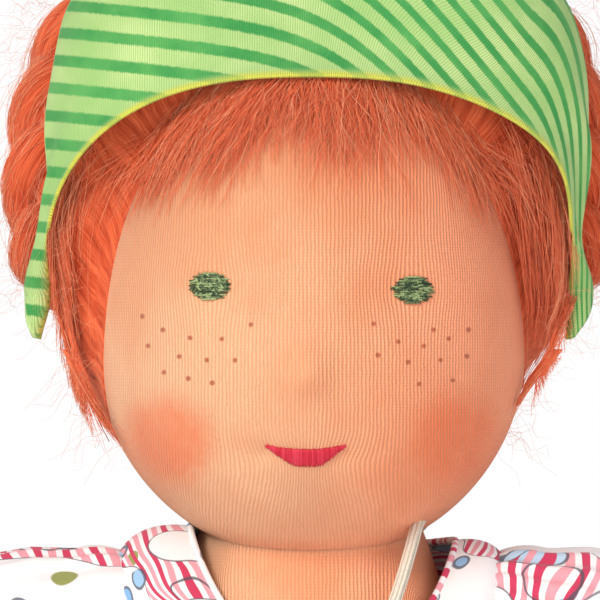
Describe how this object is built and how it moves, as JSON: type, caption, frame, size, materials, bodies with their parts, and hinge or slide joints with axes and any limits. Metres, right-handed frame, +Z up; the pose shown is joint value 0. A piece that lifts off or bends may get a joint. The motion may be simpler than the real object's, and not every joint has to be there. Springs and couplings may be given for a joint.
{
  "type": "waldorf doll",
  "caption": "Soft stuffed doll with knitted skin, mohair hair, lift-off striped kerchief, cotton blouse, trousers, socks and felt shoes; arms and legs turn.",
  "frame": {"origin": "on the floor under the middle of the doll's box, between the shoe soles", "axes": "+Z up; the doll faces -Y; its own left is +X"},
  "size_m": [0.2994, 0.0974, 0.3941],
  "materials": {
    "skin_jersey": "fine ribbed cotton jersey, peach skin colour",
    "wool_stuffing": "carded sheep's wool, wound or stuffed",
    "mohair": "brushed mohair yarn, orange red, fluffy",
    "kerchief_jersey": "striped cotton jersey, light green with green stripes",
    "print_cotton": null,
    "trouser_cotton": "plain woven cotton, mid blue",
    "sock_knit": "knitted cotton, green",
    "red_felt": "wool felt, red",
    "wood_button": "turned wooden button, waxed",
    "cord_cotton": "cream cotton cord",
    "eye_thread": "grey green embroidery thread, satin stitch",
    "mouth_thread": "crimson embroidery thread, satin stitch"
  },
  "bodies": {
    "torso": {"torso_stuffing": "wool_stuffing", "torso_skin": "skin_jersey", "head_core": "wool_stuffing", "head_skin": "skin_jersey", "nose_bead": "wool_stuffing", "neck_tie": "cord_cotton", "eye_left": "eye_thread", "eye_right": "eye_thread", "mouth": "mouth_thread", "hair_cap": "mohair", "hair_fringe": "mohair", "braid_left": "mohair", "braid_right": "mohair", "hair_tie_left": "kerchief_jersey", "hair_tie_right": "kerchief_jersey", "neck_cord": "cord_cotton", "blouse": "print_cotton", "back_button_1": "wood_button", "back_button_2": "wood_button", "back_button_3": "wood_button", "trousers_seat": "trouser_cotton", "waist_elastic": "trouser_cotton"},
    "arm_left": {"arm_stuffing_left": "wool_stuffing", "arm_skin_left": "skin_jersey", "sleeve_left": "print_cotton", "cuff_left": "trouser_cotton"},
    "arm_right": {"arm_stuffing_right": "wool_stuffing", "arm_skin_right": "skin_jersey", "sleeve_right": "print_cotton", "cuff_right": "trouser_cotton"},
    "leg_left": {"leg_stuffing_left": "wool_stuffing", "leg_skin_left": "skin_jersey", "trouser_leg_left": "trouser_cotton", "sock_left": "sock_knit", "shoe_upper_left": "red_felt", "shoe_sole_left": "red_felt", "shoe_strap_left": "red_felt", "shoe_button_left": "wood_button"},
    "leg_right": {"leg_stuffing_right": "wool_stuffing", "leg_skin_right": "skin_jersey", "trouser_leg_right": "trouser_cotton", "sock_right": "sock_knit", "shoe_upper_right": "red_felt", "shoe_sole_right": "red_felt", "shoe_strap_right": "red_felt", "shoe_button_right": "wood_button"},
    "kerchief": {"kerchief": "kerchief_jersey"}
  },
  "joints": [
    {"name": "left_shoulder", "type": "hinge", "parent": "torso", "child": "arm_left", "pos_m": [0.045, -0.00427, 0.246], "axis": [0, -1, 0], "range_deg": [-20, 55]},
    {"name": "right_shoulder", "type": "hinge", "parent": "torso", "child": "arm_right", "pos_m": [-0.045, -0.00427, 0.246], "axis": [0, 1, 0], "range_deg": [-20, 55]},
    {"name": "left_hip", "type": "hinge", "parent": "torso", "child": "leg_left", "pos_m": [0.024, -0.00427, 0.15], "axis": [-1, 0, 0], "range_deg": [-15, 90]},
    {"name": "right_hip", "type": "hinge", "parent": "torso", "child": "leg_right", "pos_m": [-0.024, -0.00427, 0.15], "axis": [-1, 0, 0], "range_deg": [-15, 90]},
    {"name": "kerchief_lift", "type": "slide", "parent": "torso", "child": "kerchief", "axis": [0, 0, 1], "range_m": [0, 0.05]}
  ]
}
